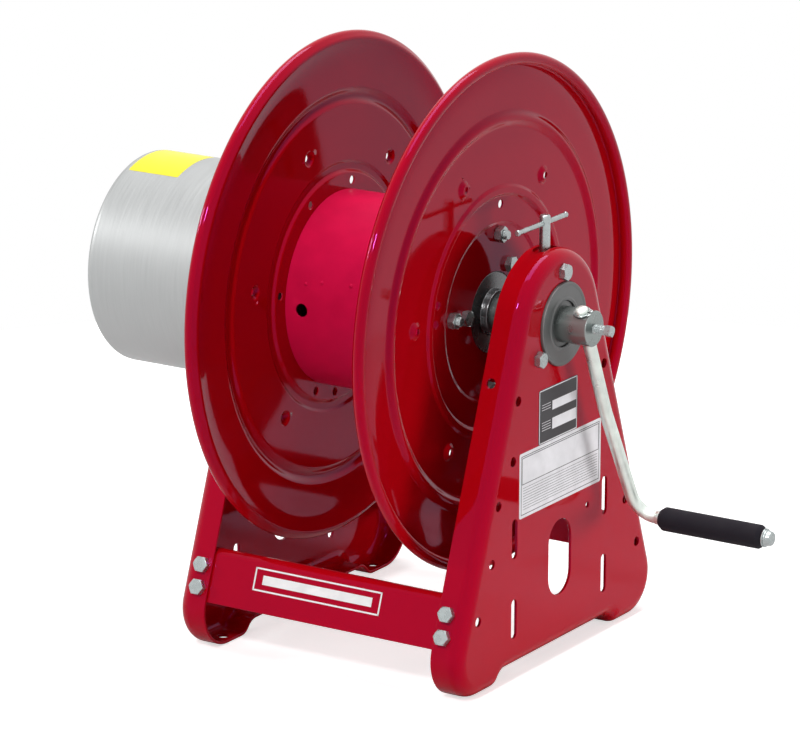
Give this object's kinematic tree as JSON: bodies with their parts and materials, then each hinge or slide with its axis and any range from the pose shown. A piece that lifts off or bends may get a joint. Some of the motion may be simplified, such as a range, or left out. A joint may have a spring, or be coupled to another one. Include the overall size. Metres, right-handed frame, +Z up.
{
  "type": "hand-crank reel",
  "caption": "Hand-crank reel on two pressed side plates, with stamped discs on a drum, a turning grip, a screw brake and a round slip-ring housing.",
  "frame": {"origin": "centre of the four foot bolt holes, in the plane the feet stand on", "axes": "+X along the shaft towards the crank, -Y the front with the drum outlet, +Z up"},
  "size_m": [0.6641, 0.4998, 0.582],
  "materials": {
    "red_enamel": "glossy red enamel",
    "drum_enamel": "satin crimson enamel",
    "zinc": "bright zinc plate",
    "bearing_steel": "dull pressed steel",
    "shaft_steel": "turned steel",
    "dark_iron": "dark oiled iron",
    "friction_lining": "moulded friction lining",
    "grip_black": "matt black grip",
    "aluminium": "spun aluminium, fine turning lines",
    "laminate": "insulating laminate",
    "ring_brass": "turned brass",
    "spring_bronze": "rolled bronze strip",
    "carbon": "pressed carbon",
    "gland_black": "moulded gland"
  },
  "bodies": {
    "frame": {"side_plate_crank": "red_enamel", "side_plate_housing": "red_enamel", "stretcher_front": "red_enamel", "stretcher_rear": "red_enamel", "stretcher_bolts": "zinc", "stretcher_nuts": "zinc", "bearing_shell_outer_crank": "bearing_steel", "bearing_shell_inner_crank": "bearing_steel", "bearing_race_crank": "bearing_steel", "bearing_balls_crank": "bearing_steel", "bearing_bolts_crank": "zinc", "bearing_nuts_crank": "zinc", "bearing_shell_outer_housing": "bearing_steel", "bearing_shell_inner_housing": "bearing_steel", "bearing_race_housing": "bearing_steel", "bearing_balls_housing": "bearing_steel", "bearing_bolts_housing": "zinc", "bearing_nuts_housing": "zinc", "brake_block": "red_enamel", "housing_back": "aluminium", "housing_cover": "aluminium", "cover_screws": "zinc", "brush_posts": "zinc", "brush_holder": "laminate", "brush_springs": "spring_bronze", "brushes": "carbon", "terminal_block": "laminate", "cable_gland": "gland_black", "gland_nut": "gland_black"},
    "reel": {"shaft": "shaft_steel", "disc_crank": "red_enamel", "disc_housing": "red_enamel", "drum_shell": "drum_enamel", "hub_crank": "dark_iron", "hub_housing": "dark_iron", "hub_bolts": "zinc", "hub_nuts": "zinc", "tie_rods": "zinc", "tie_nuts": "zinc", "inner_race_crank": "bearing_steel", "inner_race_housing": "bearing_steel", "crank_rod": "zinc", "crank_retainer": "zinc", "set_screw": "zinc", "grip_washer": "zinc", "grip_cap": "zinc", "ring_core": "laminate", "slip_rings": "ring_brass"},
    "grip": {"grip": "grip_black"},
    "brake_shoe": {"brake_shoe": "friction_lining"},
    "brake_screw": {"brake_screw": "zinc"},
    "tommy_bar": {"tommy_bar": "zinc"}
  },
  "joints": [
    {"name": "reel_spin", "type": "hinge", "parent": "frame", "child": "reel", "pos_m": [0, 0, 0.332], "axis": [1, 0, 0], "continuous": true},
    {"name": "grip_spin", "type": "hinge", "parent": "reel", "child": "grip", "pos_m": [0.27771, 0.08864, 0.12618], "axis": [1, 0, 0], "continuous": true},
    {"name": "brake_shoe_slide", "type": "slide", "parent": "frame", "child": "brake_shoe", "axis": [0, 0, -1], "range_m": [0, 0.0015]},
    {"name": "brake_screw_turn", "type": "hinge", "parent": "brake_shoe", "child": "brake_screw", "pos_m": [0.1395, 0, 0.4355], "axis": [0, 0, -1], "range_deg": [0, 360]},
    {"name": "tommy_bar_slide", "type": "slide", "parent": "brake_screw", "child": "tommy_bar", "axis": [0, 1, 0], "range_m": [-0.0303, 0.0423]}
  ],
  "couplings": [
    {"joint": "brake_screw_turn", "follows": "brake_shoe_slide", "rad_per_m": 4188.8}
  ]
}
